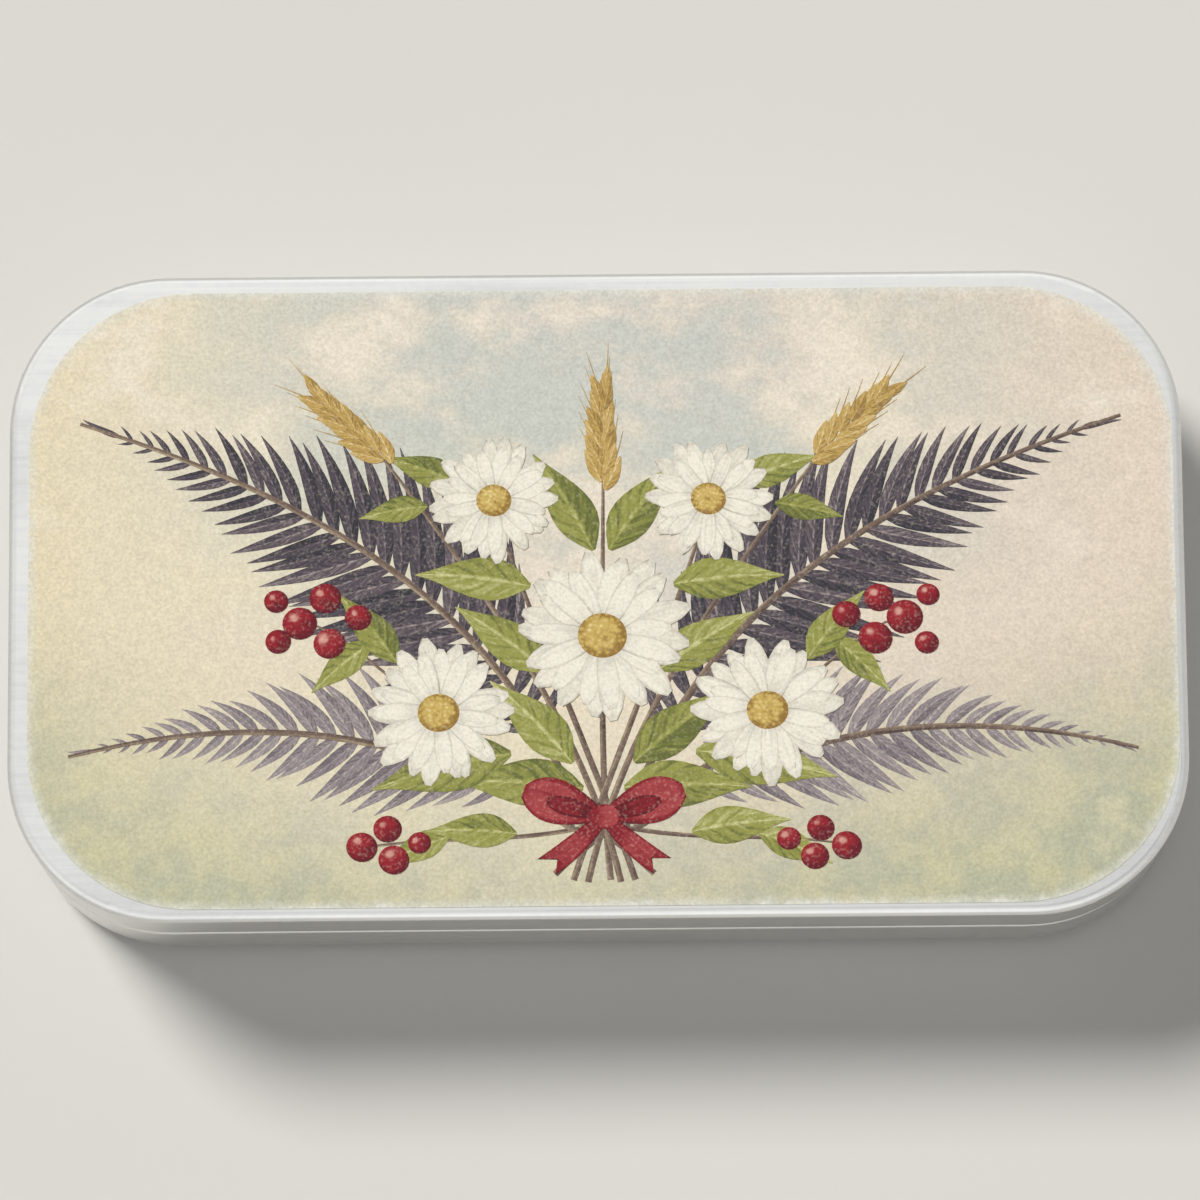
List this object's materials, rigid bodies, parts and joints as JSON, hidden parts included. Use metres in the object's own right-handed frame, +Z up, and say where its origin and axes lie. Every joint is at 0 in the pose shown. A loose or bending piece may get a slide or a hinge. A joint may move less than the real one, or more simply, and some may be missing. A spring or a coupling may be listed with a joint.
{
  "type": "hinged tin box",
  "caption": "Low tinplate box with rounded corners, a wire-hinged lid that closes over the base's neck, and a printed paper label on the lid; it holds papers and keepsakes.",
  "frame": {"origin": "under the middle of the closed tin, on the surface that it stands on", "axes": "+X along the tin's length, +Y towards the hinge at the back, +Z up through the lid"},
  "size_m": [0.115, 0.064, 0.0212],
  "materials": {
    "tinplate": "satin tinplate",
    "hinge_wire": "bright drawn steel wire",
    "label_paper": "matte print on fine-grained paper"
  },
  "bodies": {
    "base": {"base": "tinplate"},
    "lid": {"lid": "tinplate", "hinge_wire": "hinge_wire", "lid_label": "label_paper"}
  },
  "joints": [
    {"name": "lid_hinge", "type": "hinge", "parent": "base", "child": "lid", "pos_m": [0, 0.03123, 0.01277], "axis": [-1, 0, 0], "range_deg": [0, 118]}
  ]
}
